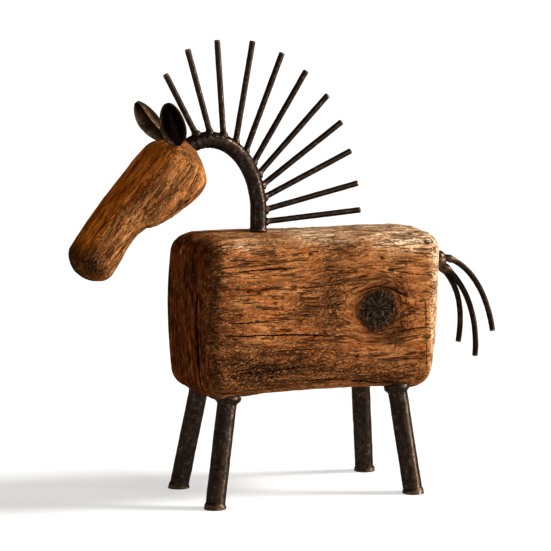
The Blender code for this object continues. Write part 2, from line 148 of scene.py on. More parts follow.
def block_grid():
    """Points on a box's six sides and the quads between them. Each side is a grid of its own, and
    points at one place on two sides are then made one."""
    lines = [block_lines(size / 2, steps) for size, steps in zip(BODY_SIZE, FLAT_STEPS)]
    points, quads, count = [], [], 0
    for axis in range(3):
        across, up = (axis + 1) % 3, (axis + 2) % 3
        for way in (-1, 1):
            first, second = np.meshgrid(lines[across], lines[up], indexing="ij")
            side = np.empty((first.size, 3))
            side[:, axis] = way * BODY_SIZE[axis] / 2
            side[:, across] = first.ravel()
            side[:, up] = second.ravel()
            index = np.arange(first.size).reshape(first.shape) + count
            corners = (index[:-1, :-1], index[1:, :-1], index[1:, 1:], index[:-1, 1:])
            quads.append(np.stack(corners, axis=-1).reshape(-1, 4)[:, ::way])
            points.append(side)
            count += first.size
    points = np.concatenate(points)
    key = np.round(points * 1e4).astype(np.int64)
    _, first, same = np.unique(key, axis=0, return_index=True, return_inverse=True)
    return points[first], same.reshape(-1)[np.concatenate(quads)]


def block_shape(cube):
    """The box rounded and bent, and the way out of it at each point.

    Rounding: the nearest point of the box shrunk by the corner radius, plus that radius towards the
    point. Bends: top and front crowned, belly arched and rump tapered, by powers of the shares
    along, across and up.
    """
    halves = BODY_SIZE / 2
    core = np.clip(cube, BODY_CORNER - halves, halves - BODY_CORNER)
    out = (cube - core) / np.linalg.norm(cube - core, axis=1, keepdims=True)
    shape = core + BODY_CORNER * out
    along, across, up = (shape / halves).T
    low = np.clip((1 - up) / 2, 0, 1)
    shape[:, 0] += FRONT_CROWN * up**2 * (1 - along) / 2
    shape[:, 0] -= REAR_TAPER * low**REAR_TAPER_POWER * (1 + along) / 2
    shape[:, 2] -= TOP_CROWN * across**2 * (1 + up) / 2
    shape[:, 2] += BELLY_ARCH * (1 - along**2) * (1 - up) / 2
    return shape, out


def put_mesh(name, points, faces, marks=None, sharp=60):
    """A piece of these points, in metres, with its marks as attributes for its finish to read."""
    mesh = bpy.data.meshes.new(name)
    mesh.from_pydata(points.tolist(), [], [face for group in faces for face in group.tolist()])
    mesh.update()
    mesh.shade_smooth()
    mesh.set_sharp_from_angle(angle=radians(sharp))
    for mark, values in (marks or {}).items():
        kind, field = ("FLOAT_VECTOR", "vector") if values.ndim > 1 else ("FLOAT", "value")
        mesh.attributes.new(mark, kind, "POINT").data.foreach_set(field, values.ravel())
    piece = bpy.data.objects.new(name, mesh)
    bpy.context.scene.collection.objects.link(piece)
    return piece


def tint(red, green, blue):
    """A colour as the eye sees it, each part from 0 to 255, as linear light."""
    share = np.array((red, green, blue)) / 255
    light = np.where(share > 0.04045, ((share + 0.055) / 1.055) ** 2.4, share / 12.92)
    return (*light.tolist(), 1.0)


def new_finish(name):
    """A material, its shader, and a function that adds a node, joins or sets its inputs and gives
    one of its outputs."""
    finish = bpy.data.materials.new(name)
    finish.use_nodes = True
    tree = finish.node_tree

    def put(kind, inputs=(), output=0, **settings):
        made = tree.nodes.new("ShaderNode" + kind)
        for setting, value in settings.items():
            setattr(made, setting, value)
        for key, value in dict(inputs).items():
            if isinstance(value, bpy.types.NodeSocket):
                tree.links.new(value, made.inputs[key])
            else:
                made.inputs[key].default_value = value
        return made.outputs[output]

    return finish, tree.nodes["Principled BSDF"], put


def dress(finish, shader, joined, **steady):
    """Joins worked-out values to the shader and sets the steady ones on its own sockets."""
    for socket, value in joined.items():
        finish.node_tree.links.new(value, shader.inputs[socket])
    for socket, value in steady.items():
        shader.inputs[socket.replace("_", " ")].default_value = value


def sum_of(put, first, second, way="ADD"):
    return put("Math", {0: first, 1: second}, operation=way)


def soft_step(put, value, start, end, low=0.0, high=1.0):
    return put("MapRange", {0: value, 1: start, 2: end, 3: low, 4: high}, interpolation_type="SMOOTHSTEP")


def over(put, share, first, second):
    """The second colour laid over the first by share."""
    return put("Mix", {0: share, 6: first, 7: second}, 2, data_type="RGBA")


def shades(put, value, *stops):
    """A run of colours, each with the value at which it stands."""
    result = put("ValToRGB", {0: value})
    run = result.node.color_ramp.elements
    while len(run) < len(stops):
        run.new(0.5)
    for stop, (at, colour) in zip(run, stops):
        stop.position = at
        stop.color = colour
    return result


def cloud(put, place, pitch, detail=3.0, layer=0.0, rough_share=0.6):
    """Noise with hills this many millimetres apart along each axis."""
    scale = tuple(1 / step for step in pitch)
    at = put("Mapping", {0: place, 1: (layer * 7.7, layer * 3.1, layer * 5.9), 3: scale})
    return put("TexNoise", {"Vector": at, "Scale": 1.0, "Detail": detail, "Roughness": rough_share})


def thin_lines(put, place, pitch, width, layer):
    """Thin wandering lines: where noise stretched along the grain passes through its middle value."""
    level = cloud(put, place, pitch, 2.0, layer, 0.5)
    away = sum_of(put, sum_of(put, level, 0.5, "SUBTRACT"), 0.0, "ABSOLUTE")
    return soft_step(put, away, width, width * 0.2)


def fibres(put, place, layer):
    """Tone, fissures, pores and scratches of dry wood whose fibres run along the first coordinate.

    Streaks and strands are noise stretched seven times along the grain. Fissures are long thin lines kept to
    patches and the peaks of long strands, pores the peaks of short ones, and scratches those of long strands
    turned a little off the grain. The light scratches also stand in for painted highlights.
    """
    streaks = cloud(put, place, (26, 3.4, 3.4), 4.0, layer, 0.6)
    strands = cloud(put, place, (6, 0.9, 0.9), 3.0, layer + 1, 0.6)
    tone = sum_of(put, sum_of(put, streaks, 0.6, "MULTIPLY"), sum_of(put, strands, 0.4, "MULTIPLY"))
    dry = cloud(put, place, (14, 7, 7), 3.0, layer + 2)
    long_lines = thin_lines(put, place, (22, 2.4, 2.4), 0.07, layer + 3)
    long_lines = sum_of(put, long_lines, soft_step(put, dry, 0.46, 0.56), "MULTIPLY")
    dashes = cloud(put, place, (7.5, 1.0, 1.0), 2.0, layer + 5, 0.55)
    short_lines = soft_step(put, dashes, 0.585, 0.64)
    short_lines = sum_of(put, short_lines, soft_step(put, dry, 0.62, 0.5, 0.35), "MULTIPLY")
    fissures = sum_of(put, long_lines, short_lines, "MAXIMUM")
    pores = soft_step(put, cloud(put, place, (2.2, 0.7, 0.7), 1.0, layer + 6), 0.64, 0.71)
    turned = put("Mapping", {0: place, 2: (0.0, 0.22, 0.1)})
    scratches_and_sheen = soft_step(put, cloud(put, turned, (7, 0.55, 0.55), 1.0, layer + 7), 0.61, 0.7)
    scratches_and_sheen = sum_of(put, scratches_and_sheen, soft_step(put, dashes, 0.53, 0.58, 0.0, 0.7), "MAXIMUM")
    return tone, fissures, pores, scratches_and_sheen


def crackle(put, place, blotch):
    """A net of fine cracks and the rims beside them, where painted highlights go: the borders of random cells
    twice as long as they are high."""
    shift_along, shift_up = (sum_of(put, blotch, most, "MULTIPLY") for most in (5.0, 4.0))
    shift = put("CombineXYZ", {0: shift_along, 2: shift_up})
    shifted = put("VectorMath", {0: place, 1: shift}, operation="ADD")
    at = put("Mapping", {0: shifted, 3: (0.27, 0.5, 0.5)})
    border = put("TexVoronoi", {"Vector": at, "Scale": 1.0}, feature="DISTANCE_TO_EDGE")
    return soft_step(put, border, 0.10, 0.02), soft_step(put, border, 0.30, 0.14)


def split_lines(put, along, height, splits):
    """The dark lines of the splits, crisp where the mesh has only their soft hollow."""
    deepest = 0.0
    for start, end, low, high, half in splits:
        line = put("MapRange", {0: along, 1: start, 2: end, 3: low, 4: high})
        away = sum_of(put, sum_of(put, height, line, "SUBTRACT"), 0.0, "ABSOLUTE")
        inside = soft_step(put, away, half * 1.2, half * 0.5)
        opens, closes = soft_step(put, along, start, start + 5), soft_step(put, along, end, end - 5)
        ends = sum_of(put, opens, closes, "MULTIPLY")
        deepest = sum_of(put, sum_of(put, inside, ends, "MULTIPLY"), deepest, "MAXIMUM")
    return deepest


def old_wood(name, deep, middle, pale, stains_and_shade, families, cracked, knot_at=None):
    """Weathered, waxed wood with no gloss of its own: its sheen is painted as glints and light scratches. The
    mesh's marks say where it is worn, with painted light where the light falls, where it is dark, with
    painted shade on the faces turned from the light, and where it is cut across the grain; fibres, fissures,
    splits and the knot are worked out here and raise the bump as well. Stains are the two shades of the
    stained end, partly stain and partly painted shade, and cracked is how strongly the fissures show."""
    finish, shader, put = new_finish(name)
    grain = put("Attribute", output=1, attribute_name="grain")
    marks = put("Attribute", output=1, attribute_name="marks")
    lines = put("Attribute", output=1, attribute_name="lines")
    faces = put("Attribute", output=1, attribute_name="faces")
    along, across = (put("SeparateXYZ", {0: grain}, i) for i in range(2))
    worn, dark, end = (put("SeparateXYZ", {0: marks}, i) for i in range(3))
    flow, front, knot = (put("SeparateXYZ", {0: lines}, i) for i in range(3))
    flank, front_face, height = (put("SeparateXYZ", {0: faces}, i) for i in range(3))
    turned = put("CombineXYZ", {0: height, 1: across, 2: along})
    side, cross = fibres(put, grain, 0.0), fibres(put, turned, 9.0)
    tone, fissures, pores, scratches_and_sheen = (
        put("Mix", {0: end, 2: first, 3: second}, data_type="FLOAT") for first, second in zip(side, cross)
    )
    broad = cloud(put, grain, (30, 11, 11), 3.0, 4.0)
    blotch = cloud(put, grain, (8, 4, 4), 4.0, 6.0, 0.7)
    crumbs = cloud(put, grain, (1.6, 0.9, 0.9), 3.0, 8.0, 0.7)
    colour = shades(put, tone, (0.36, deep), (0.47, middle), (0.58, pale), (0.68, tint(196, 142, 92)))
    colour = over(put, soft_step(put, broad, 0.42, 0.62, 0.0, 0.55), colour, tint(132, 64, 22))
    colour = over(put, soft_step(put, blotch, 0.54, 0.74, 0.0, 0.5), colour, tint(66, 38, 20))
    # worn places get a pale colour, partly bare wood and partly painted light where the light falls
    rubbed_and_lit = sum_of(put, worn, soft_step(put, blotch, 0.62, 0.38, 0.25, 1.0), "MULTIPLY")
    rubbed_and_lit = sum_of(put, rubbed_and_lit, soft_step(put, crumbs, 0.62, 0.45, 0.35, 1.0), "MULTIPLY")
    bare = shades(put, worn, (0.35, tint(204, 148, 94)), (0.95, tint(240, 206, 166)))
    colour = over(put, rubbed_and_lit, colour, bare)
    # the dark mark lays soot, and on the front face the stain colours, which there are partly painted shade
    stain_and_shade = sum_of(put, dark, soft_step(put, blotch, 0.36, 0.52, 0.5, 1.0), "MULTIPLY")
    soot = shades(put, crumbs, (0.38, tint(14, 5, 1)), (0.62, tint(60, 34, 17)))
    face_stain_and_shade = shades(put, tone, (0.40, stains_and_shade[0]), (0.58, stains_and_shade[1]))
    colour = over(put, stain_and_shade, colour, over(put, front_face, soot, face_stain_and_shade))
    lines_dark = 0.0
    # each family of splits: the way it runs, the way across it, its face and how jagged it is
    ways = {
        "flank": (along, flow, flank, 1.1),
        "front": (height, front, front_face, 1.1),
        "check": (height, along, flank, 2.6),
    }
    for kind, splits in families.items():
        on, line_height, face, jag = ways[kind]
        jagged = sum_of(put, line_height, sum_of(put, crumbs, jag, "MULTIPLY"))
        jagged = sum_of(put, jagged, jag / 2, "SUBTRACT")
        drawn = sum_of(put, split_lines(put, on, jagged, splits), face, "MULTIPLY")
        lines_dark = sum_of(put, drawn, lines_dark, "MAXIMUM")
    scratches_and_sheen = sum_of(put, scratches_and_sheen, soft_step(put, broad, 0.4, 0.6, 0.25, 0.6), "MULTIPLY")
    scratches_and_sheen = sum_of(put, scratches_and_sheen, soft_step(put, dark, 0.2, 0.8, 1.0, 0.12), "MULTIPLY")
    # light scratches: partly real scratches, partly painted highlights of the wax
    colour = over(put, scratches_and_sheen, colour, tint(190, 138, 90))
    crackled = soft_step(put, sum_of(put, dark, broad), 0.7, 1.05, 0.0, 0.8)
    crackled = sum_of(put, flank, crackled, "MULTIPLY")
    net, net_glint_rims = (sum_of(put, value, crackled, "MULTIPLY") for value in crackle(put, grain, blotch))
    # painted highlight: light glints on the crackle's rims, since the wood has no gloss of its own
    glints = sum_of(put, net_glint_rims, soft_step(put, crumbs, 0.5, 0.62), "MULTIPLY")
    colour = over(put, sum_of(put, glints, 0.6, "MULTIPLY"), colour, tint(170, 118, 76))
    fissures = sum_of(put, sum_of(put, fissures, cracked, "MULTIPLY"), net, "MAXIMUM")
    pores = sum_of(put, pores, cracked, "MULTIPLY")
    crisp = put("MapRange", {0: worn, 1: 0.2, 2: 1.0, 3: 0.8, 4: 0.65})
    colour = over(put, sum_of(put, pores, crisp, "MULTIPLY"), colour, tint(52, 27, 12))
    colour = over(put, sum_of(put, fissures, crisp, "MULTIPLY"), colour, tint(28, 12, 4))
    colour = over(put, lines_dark, colour, tint(9, 4, 3))
    if knot_at:
        # brown rings, then a grey-black heart with a ragged edge and streaks out of its middle
        ring_place = put("CombineXYZ", {0: sum_of(put, along, 0.05, "MULTIPLY"), 1: knot})
        rings = soft_step(put, cloud(put, ring_place, (1, 0.9, 1), 2.0, 2.0), 0.4, 0.6, 0.6, 1.0)
        halo = sum_of(put, soft_step(put, knot, 18.0, 8.0), rings, "MULTIPLY")
        colour = over(put, halo, colour, tint(50, 24, 10))
        behind_it, above_it = (sum_of(put, way, at, "SUBTRACT") for way, at in zip((along, height), knot_at))
        from_heart = put("CombineXYZ", {0: behind_it, 1: above_it})
        way_out = put("VectorMath", {0: from_heart}, operation="NORMALIZE")
        apart = put("CombineXYZ", {2: sum_of(put, knot, 0.05, "MULTIPLY")})
        polar = put("VectorMath", {0: way_out, 1: apart}, operation="ADD")
        streaks = cloud(put, polar, (0.16, 0.16, 0.16), 3.0, 3.0, 0.7)
        speck = cloud(put, grain, (1.2, 1.2, 1.2), 4.0, 3.0, 0.75)
        speck = sum_of(put, sum_of(put, streaks, 0.6, "MULTIPLY"), sum_of(put, speck, 0.4, "MULTIPLY"))
        coal = shades(put, speck, (0.40, tint(12, 9, 6)), (0.52, tint(38, 28, 20)), (0.66, tint(96, 78, 58)))
        ragged = sum_of(put, knot, sum_of(put, streaks, 7.0, "MULTIPLY"))
        heart = soft_step(put, ragged, 14.2, 9.8)
        colour = over(put, heart, colour, coal)
        # wavy cracks in arcs on the knot's rear side
        arc_place = put("CombineXYZ", {0: knot, 1: sum_of(put, height, 0.2, "MULTIPLY")})
        arcs = thin_lines(put, arc_place, (3.0, 1, 1), 0.075, 12.0)
        near = sum_of(put, soft_step(put, knot, 22.0, 16.0), soft_step(put, knot, 9.5, 11.5), "MULTIPLY")
        behind = soft_step(put, along, knot_at[0] + 1.0, knot_at[0] + 6.0)
        arcs = sum_of(put, arcs, sum_of(put, near, behind, "MULTIPLY"), "MULTIPLY")
        fissures = sum_of(put, fissures, arcs, "MAXIMUM")
        colour = over(put, sum_of(put, arcs, 0.7, "MULTIPLY"), colour, tint(34, 16, 7))
    hollows = sum_of(put, sum_of(put, fissures, lines_dark), 2.2, "MULTIPLY")
    hollows = sum_of(put, hollows, sum_of(put, pores, 0.5, "MULTIPLY"))
    relief = sum_of(put, sum_of(put, tone, 1.5, "MULTIPLY"), hollows, "SUBTRACT")
    relief = sum_of(put, relief, sum_of(put, sum_of(put, crumbs, blotch, "MULTIPLY"), 3.4, "MULTIPLY"))
    if knot_at:
        relief = sum_of(put, relief, sum_of(put, sum_of(put, heart, speck, "MULTIPLY"), 1.2, "MULTIPLY"))
    bump = put("Bump", {"Strength": 1.0, "Distance": 0.0008, "Height": relief})
    dull = put("MapRange", {0: tone, 1: 0.35, 2: 0.65, 3: 0.62, 4: 0.4})
    joined = {"Base Color": colour, "Roughness": dull, "Normal": bump}
    dress(finish, shader, joined, Specular_IOR_Level=0.0)
    return finish


body_low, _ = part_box("body")
body_middle = np.array((body_low.x * 1000 + BODY_SIZE[0] / 2, 0.0, BELLY_HEIGHT + BODY_SIZE[2] / 2))
cube, body_faces = block_grid()
block, out = block_shape(cube)
x, y, z = block.T
knot_x, knot_z, knot_radius = KNOT
left = rise(-y, -14, 26)
away = z - knot_z
flow = z - left * away * knot_radius**2 / (((x - knot_x) / 1.25) ** 2 + away**2 + 9)
wave = 1.5 * hills(block, (48, 30, 22), 1) + 0.5 * hills(block, (15, 14, 9), 2)
body_grain = np.column_stack((x, y, flow + wave))
upright = np.column_stack((z, y, x))
end = rise(np.abs(out[:, 0]), 0.35, 0.85)
flank = rise(-out[:, 1], 0.3, 0.6)
front_face = rise(-out[:, 0], 0.45, 0.75)
wobble = 0.5 * hills(block, (7, 7, 7), 3) + 0.22 * hills(block, (2.2, 2.2, 2.2), 4)
flow_line = flow + wobble
front_line = y + 1.6 * wobble
knot_far = np.hypot((x - knot_x) * 0.93, away * 0.85) * (1 + 0.22 * hills(block, (8, 8, 8), 5))
knot_far = knot_far + 60 * rise(y, -24, -6)

turn = np.arctan2(away, x - knot_x)
relief = 0.30 * hills(block, (30, 20, 20), 3) + 0.16 * hills(block, (9, 9, 9), 6)
relief += (1 - end) * 0.3 * rough(body_grain, (12, 2.8, 2.8), 4)
relief += (1 - end) * 0.13 * rough(body_grain, (4, 1.6, 1.6), 15, 2)
relief += end * 0.18 * rough(upright, (16, 2.8, 2.8), 5)
relief -= 0.6 * flank * split_share(x, flow_line, FLANK_SPLITS, 0.8)
relief -= 0.7 * front_face * split_share(z, front_line, FRONT_SPLITS, 0.8)
relief -= 0.35 * flank * split_share(z, x + 2 * wobble, REAR_CHECKS, 0.8)
relief += 0.25 * np.exp(-((knot_far / 6.0) ** 2)) - 0.3 * np.exp(-(((knot_far - 9.0) / 1.4) ** 2))
spokes = np.clip(np.cos(7.5 * turn + 3.5 * hills(block, (4, 4, 4), 7)), 0, 1) ** 8
relief -= 0.5 * spokes * rise(knot_far, 9.5, 5.0) * rise(knot_far, 0.3, 1.6)
relief -= 0.25 * (1 - end) * np.clip(hills(body_grain, (20, 5, 5), 12) - 0.25, 0, 1) * 2
edge = np.clip(1 - np.abs(out).max(axis=1), 0, 0.3) / 0.3
relief -= 1.6 * edge * np.clip(hills(block, (12, 8, 8), 8) - 0.42, 0, 1)
relief -= 1.3 * patch(y, z, (-3.0, 40.0), (4.5, 3.2)) * rise(-x, 50, 58)
holes = sum(patch(x, z, hole, (0.9, 0.8)) for hole in WORM_HOLES) * flank
relief -= 1.1 * holes

noise = 0.5 + 0.5 * hills(block, (10, 6, 6), 9)
# worn: partly wear, partly painted light on the top, the upper edges and the rear end, which face the light
worn = sum(strength * patch(x, z, centre, radii) for strength, centre, radii in WORN_AND_LIT_MARKS)
worn += 1.0 * rise(x, 53, 60) * rise(z, -44, -26) + 0.45 * edge * rise(z, 20, 38) * noise
dark = sum(strength * patch(x, z, centre, radii) for strength, centre, radii in DARK_MARKS)
dark = dark * rise(-y, -10, 20) + holes
dark += 0.85 * spokes * rise(knot_far, 10, 6) * rise(knot_far, 0.3, 1.6)
# the front end darker: partly its stain, partly painted shade, as it faces away from the light
front_end_stain_and_shade = rise(-x, 52, 61) * rise(out[:, 2], 0.9, 0.5)
dark = dark * (1 - front_end_stain_and_shade) + front_end_stain_and_shade * (0.72 + 0.28 * noise)
# darker along the bottom edge
dark += 0.3 * rise(-z, 36, 41)
worn = np.clip(worn * rise(-x, 62, 50), 0, 1)

points = (block + out * (relief - SKIN_INSET)[:, None] + body_middle) / 1000
body_marks = {
    "grain": body_grain,
    "lines": np.column_stack((flow_line, front_line, knot_far)),
    "marks": np.column_stack((worn, np.clip(dark, 0, 1), end)),
    "faces": np.column_stack((flank, front_face, z)),
}
body = put_mesh("body_block", points, (body_faces,), body_marks)
splits = {"flank": FLANK_SPLITS, "front": FRONT_SPLITS, "check": REAR_CHECKS}
body_colours = (tint(70, 35, 14), tint(120, 69, 34), tint(168, 108, 61))
# the front end's colours: partly stain, partly painted shade
stained_end_and_shade = (tint(33, 11, 2), tint(96, 38, 8))
body.data.materials.append(old_wood("body_old_wood", *body_colours, stained_end_and_shade, splits, 1.0, KNOT))
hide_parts("body")
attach(body, "root")

# Neck: one bar of round iron, bent hot over a form into a crook and driven into the back and the
# head. The smith's blows show as soft ripples where it enters the head, and a bead of weld grips it
# at the wood.

NECK_RADIUS = 4.1
NECK_INSET, NECK_SEAT, NECK_RISE, NECK_REACH, NECK_CROWN = 40.2, 15.0, 10.4, 26.2, 35.3
NECK_BEND = radians(128)


def evenly(line, spacing):
    """Points along a line, about this far apart."""
    run = np.concatenate(((0,), np.linalg.norm(np.diff(line, axis=0), axis=1).cumsum()))
    at = np.linspace(0, run[-1], int(round(run[-1] / spacing)) + 1)
    return np.column_stack([np.interp(at, run, line[:, i]) for i in range(3)]), at


def rings_round(line, radii):
    """Rings about a line that lies nearly in the XZ plane: cos times the way across, near Y, plus
    sin times the line's direction crossed with it, times the radius of each point."""
    ahead = np.gradient(line, axis=0)
    ahead /= np.linalg.norm(ahead, axis=1, keepdims=True)
    across = np.array((0.0, 1.0, 0.0)) - ahead[:, 1:2] * ahead
    across /= np.linalg.norm(across, axis=1, keepdims=True)
    turns = np.linspace(0, 2 * np.pi, radii.shape[1], endpoint=False)
    upward = np.cross(ahead, across)
    ring = np.cos(turns)[:, None] * across[:, None] + np.sin(turns)[:, None] * upward[:, None]
    return line[:, None] + radii[..., None] * ring


def ring_faces(rows, sides):
    """Quads between rings, and a fan of triangles at each end to the two points after the last ring."""
    here = np.arange(rows * sides).reshape(rows, sides)
    there = np.roll(here, -1, axis=1)
    quads = np.stack((here[:-1], there[:-1], there[1:], here[1:]), axis=-1).reshape(-1, 4)
    start, last = np.full(sides, rows * sides), np.full(sides, rows * sides + 1)
    return quads, np.column_stack((start, there[0], here[0])), np.column_stack((last, here[-1], there[-1]))


def rod(name, line, radii, worn):
    """A closed rod: rings round the line, closed at both ends by the line's own end points. Worn is
    how bare the metal is at each point of the rings."""
    rings = rings_round(line, radii)
    points = np.concatenate((rings.reshape(-1, 3), line[:1], line[-1:])) / 1000
    worn = np.concatenate((worn.ravel(), worn[0, :1], worn[-1, :1]))
    return put_mesh(name, points, ring_faces(*radii.shape), {"worn": worn}, 40)


def old_iron(name, dark, brown, bare, roughness):
    """Forged iron under dark scale and wax: soft hammer marks, fine pits, patches of brown rust, and bare
    metal where the worn mark says that it is rubbed, which on the ears also paints highlight."""
    finish, shader, put = new_finish(name)
    place = put("VectorMath", {0: put("TexCoord", output=3), 1: (1000, 1000, 1000)}, operation="MULTIPLY")
    worn = put("Attribute", output=2, attribute_name="worn")
    hammer = cloud(put, place, (3.4, 3.4, 3.4), 2.0, 1.0)
    grit = cloud(put, place, (0.8, 0.8, 0.8), 4.0, 2.0, 0.7)
    rust = cloud(put, place, (7, 7, 7), 4.0, 3.0, 0.7)
    patches = cloud(put, place, (2.4, 2.4, 2.4), 3.0, 5.0)
    scale = sum_of(put, sum_of(put, patches, 0.5, "MULTIPLY"), sum_of(put, grit, 0.5, "MULTIPLY"))
    colour = shades(put, scale, (0.38, dark), (0.56, brown), (0.78, bare))
    colour = over(put, soft_step(put, rust, 0.48, 0.66, 0.0, 0.5), colour, tint(36, 19, 11))
    # bare metal where rubbed; on the ears it also paints highlight
    rubbed_and_lit = sum_of(put, worn, soft_step(put, grit, 0.62, 0.4, 0.2, 1.0), "MULTIPLY")
    colour = over(put, rubbed_and_lit, colour, tint(150, 120, 92))
    relief = sum_of(put, sum_of(put, hammer, 0.8, "MULTIPLY"), sum_of(put, grit, 0.22, "MULTIPLY"))
    bump = put("Bump", {"Strength": 0.8, "Distance": 0.0004, "Height": relief})
    dull = put("MapRange", {0: grit, 1: 0.35, 2: 0.65, 3: roughness + 0.1, 4: roughness - 0.06})
    joined = {"Base Color": colour, "Roughness": dull, "Normal": bump}
    dress(finish, shader, joined, Metallic=0.85, Specular_IOR_Level=0.2, Specular_Tint=(0.42, 0.36, 0.3, 1.0))
    return finish


neck_foot = np.array((NECK_INSET - BODY_SIZE[0] / 2 + body_middle[0], 0.0, BELLY_HEIGHT + BODY_SIZE[2]))
bend_centre = neck_foot + (-NECK_REACH, 0.0, NECK_RISE)
angle = np.linspace(0, NECK_BEND, 400)
bend = bend_centre + np.column_stack((NECK_REACH * np.cos(angle), 0 * angle, NECK_CROWN * np.sin(angle)))
neck_line, neck_run = evenly(np.vstack((neck_foot - (0, 0, NECK_SEAT), neck_foot, bend)), 0.42)
neck_run = neck_run - NECK_SEAT
ball = rings_round(neck_line, np.full((len(neck_line), 48), NECK_RADIUS))
flat = ball.reshape(-1, 3)
skin = (0.09 * rough(flat, (5, 5, 5), 2)).reshape(ball.shape[:2])
blows = 0.09 * np.sin(neck_run * 1.9 + 2.5 * hills(neck_line, (7, 7, 7), 3)) * rise(neck_run, 46, 60)
weld = np.exp(-(((neck_run - 0.5) / 1.0) ** 2)) + 0.9 * np.exp(-(((neck_run - 73.0) / 1.3) ** 2))
lumps = 0.65 + 0.5 * hills(flat, (2.6, 2.6, 2.6), 4).reshape(ball.shape[:2])
neck_radii = NECK_RADIUS + skin + blows[:, None] + 0.95 * weld[:, None] * lumps
neck_radii[neck_run < -1.5] = NECK_RADIUS
neck_worn = 0.25 * weld[:, None] * lumps
neck = rod("neck_bar", neck_line, neck_radii, neck_worn)
neck_iron = old_iron("neck_iron", tint(17, 11, 9), tint(40, 32, 26), tint(112, 102, 90), 0.32)
neck.data.materials.append(neck_iron)
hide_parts("neck")
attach(neck, "root")

# Mane: eleven cut lengths of thin rod, welded one after another in a fan along the outside of the
# neck. Each keeps the lumpy bead of its weld, and its cut end shows a little bare metal.

MANE_RADIUS, MANE_LENGTH = 1.5, 55.5
MANE_SHARES = (0.67, 0.83, 0.91, 0.975, 1.01, 1.03, 1.035, 1.02, 1.0, 1.0, 1.0)
MANE_LEANS = (-28.0, -15.7, -3.8, 10.4, 21.9, 32.0, 44.0, 54.4, 64.8, 76.8, 85.4)
MANE_FIRST, PITCH_UPRIGHT, PITCH_BEND, UPRIGHT_STEPS = 4.2, 5.4, 6.5, 5
BEAD = 1.15
mane_iron = old_iron("mane_iron", tint(20, 14, 11), tint(44, 34, 27), tint(112, 99, 86), 0.32)
for number, (lean, share) in enumerate(zip(MANE_LEANS, MANE_SHARES)):
    step = len(MANE_LEANS) - 1 - number
    near = min(step, UPRIGHT_STEPS)
    height = MANE_FIRST + PITCH_UPRIGHT * near + PITCH_BEND * (step - near)
    foot = np.array([np.interp(height, neck_run, neck_line[:, i]) for i in range(3)])
    way = np.array((np.sin(radians(lean)), 0.0, np.cos(radians(lean))))
    length = MANE_LENGTH * share
    near_weld, free = np.arange(NECK_RADIUS - 0.9, 8.5, 0.3), np.linspace(8.5, length - 0.35, 60)
    run = np.concatenate((near_weld, free, (length,)))
    line = foot + run[:, None] * way
    seen = rings_round(line, np.full((len(run), 20), MANE_RADIUS)).reshape(-1, 3)
    skin = (0.05 * rough(seen, (3, 3, 3), 5)).reshape(-1, 20)
    lumps = 0.75 + 0.45 * hills(seen, (1.6, 1.6, 1.6), number).reshape(-1, 20)
    bead = np.exp(-((np.clip(run - NECK_RADIUS + 0.1, 0, None) / 1.1) ** 2))[:, None]
    radii = MANE_RADIUS + skin + BEAD * bead * lumps
    radii[-1] -= 0.3
    worn = 0.12 * bead * lumps + 0.7 * rise(run, length - 0.9, length)[:, None]
    strand = rod(f"mane_strand_{number + 1:02d}", line, radii, worn)
    strand.data.materials.append(mane_iron)
    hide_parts(f"mane_rod_{number + 1:02d}")
    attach(strand, "root")

# Head: carved from one piece of the same wood with the grain running down the face, and left plain.
# The brow is stained darker, partly painted shade, and carries a painted highlight along its edges; the nose
# is nearly black, and a check follows the edge of the jaw to a small step where the jaw meets the muzzle.

HEAD_LENGTH, HEAD_START, HEAD_DROOP, SQUARE_POWER = 84.0, -0.099, radians(52), 3.0
POLL_ROUNDING, NOSE_ROUNDING = 0.155, 0.115
HEAD_STATIONS = np.array((
    # along, front, back, half width
    (-0.099, 0.116, -0.095, 0.205), (0.000, 0.152, -0.184, 0.240), (0.072, 0.161, -0.213, 0.262),
    (0.144, 0.168, -0.209, 0.268), (0.240, 0.173, -0.182, 0.262), (0.335, 0.177, -0.148, 0.250),
    (0.407, 0.181, -0.114, 0.238), (0.455, 0.183, -0.083, 0.226), (0.502, 0.185, -0.066, 0.214),
    (0.598, 0.186, -0.057, 0.199), (0.718, 0.184, -0.070, 0.190), (0.813, 0.179, -0.080, 0.184),
    (0.911, 0.165, -0.082, 0.176),
))
HEAD_RINGS, HEAD_SIDES = 250, 280
HEAD_INSET = 0.12
JAW_SPLITS = (
    (7.0, 37.0, -13.6, -6.4, 0.30),
    (-2.0, 16.0, -6.0, -7.5, 0.16),
    (18.0, 44.0, 5.2, 4.0, 0.14),
    (44.0, 66.0, 1.0, -0.5, 0.14),
)


def through(along, places, values):
    """Smooth line through values at places: a cubic in each gap, with the mean slope at each end."""
    slopes = np.gradient(values, places)
    gap = np.clip(np.searchsorted(places, along) - 1, 0, len(places) - 2)
    width = places[gap + 1] - places[gap]
    t = (along - places[gap]) / width
    climb = values[gap + 1] - values[gap]
    into = slopes[gap] * width - climb
    leave = climb - slopes[gap + 1] * width
    return values[gap] + climb * t + t * (1 - t) * (into * (1 - t) + leave * t)


